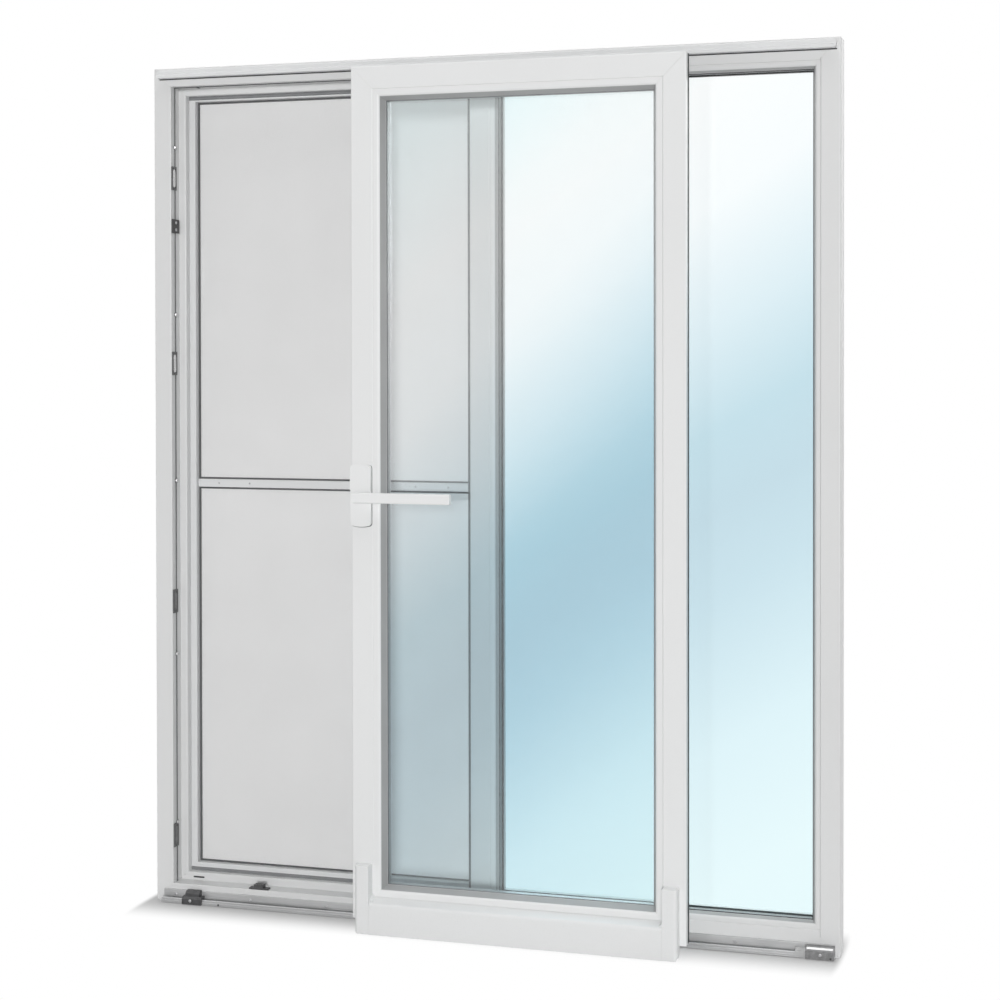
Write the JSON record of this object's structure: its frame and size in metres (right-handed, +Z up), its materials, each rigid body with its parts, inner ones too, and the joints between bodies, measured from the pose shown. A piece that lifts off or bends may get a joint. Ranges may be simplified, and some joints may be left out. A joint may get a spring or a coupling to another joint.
{
  "type": "tilt-and-slide glass patio door",
  "caption": "White-framed patio door: a glazed sash runs on rails in front of a frame with a fixed pane and an insect screen, locked by a lever handle.",
  "frame": {"origin": "middle of the sill's underside", "axes": "+X along the wall to the right seen from the room, +Y from the room outwards, +Z up"},
  "size_m": [1.8, 0.279, 2.2],
  "materials": {
    "white_pvc": "smooth satin-gloss white PVC",
    "clear_glass": "clear float glass",
    "spacer_aluminium": "mill finish",
    "black_gasket": "matt black rubber",
    "grey_gasket": "matt grey rubber",
    "white_rail": "white powder coat",
    "rail_aluminium": "natural anodised",
    "dark_block": "dark moulded plastic",
    "bright_steel": "zinc plated",
    "screen_white": "white powder coat",
    "screen_mesh": "fine woven fibreglass mesh",
    "cover_white": "satin white",
    "handle_white": "satin white coat"
  },
  "bodies": {
    "frame": {"fixed_bead_bottom": "white_pvc", "fixed_bead_left": "white_pvc", "fixed_bead_right": "white_pvc", "fixed_bead_top": "white_pvc", "fixed_gaskets": "black_gasket", "fixed_glass": "clear_glass", "fixed_glass_spacer": "spacer_aluminium", "head": "white_pvc", "head_guide_rail": "white_rail", "jamb_keeps": "bright_steel", "left_jamb": "white_pvc", "left_stop": "dark_block", "mullion": "white_pvc", "mullion_keeps": "bright_steel", "rebate_catches": "dark_block", "right_jamb": "white_pvc", "right_stop": "bright_steel", "running_rail": "rail_aluminium", "screen_bar_bottom": "screen_white", "screen_bar_left": "screen_white", "screen_bar_right": "screen_white", "screen_bar_top": "screen_white", "screen_crossbar": "screen_white", "screen_mesh": "screen_mesh", "sill": "white_pvc", "stop_buffer": "grey_gasket", "tilt_keep": "dark_block"},
    "sash": {"guide_arms": "bright_steel", "handle_plate": "handle_white", "left_end_cover": "cover_white", "left_trolley": "bright_steel", "right_end_cover": "cover_white", "right_trolley": "bright_steel", "runner_cover": "cover_white", "sash_bead_bottom": "white_pvc", "sash_bead_left": "white_pvc", "sash_bead_right": "white_pvc", "sash_bead_top": "white_pvc", "sash_bottom_rail": "white_pvc", "sash_gaskets": "grey_gasket", "sash_glass": "clear_glass", "sash_glass_spacer": "spacer_aluminium", "sash_left_stile": "white_pvc", "sash_lock_plates": "bright_steel", "sash_overlap_seal": "black_gasket", "sash_right_stile": "white_pvc", "sash_top_rail": "white_pvc"},
    "handle": {"handle_lever": "handle_white"}
  },
  "joints": [
    {"name": "sash_slide", "type": "slide", "parent": "frame", "child": "sash", "axis": [-1, 0, 0], "range_m": [-0.307, 0.571]},
    {"name": "handle_turn", "type": "hinge", "parent": "sash", "child": "handle", "pos_m": [-0.264, -0.187, 1.092], "axis": [0, 1, 0], "range_deg": [0, 90]}
  ]
}
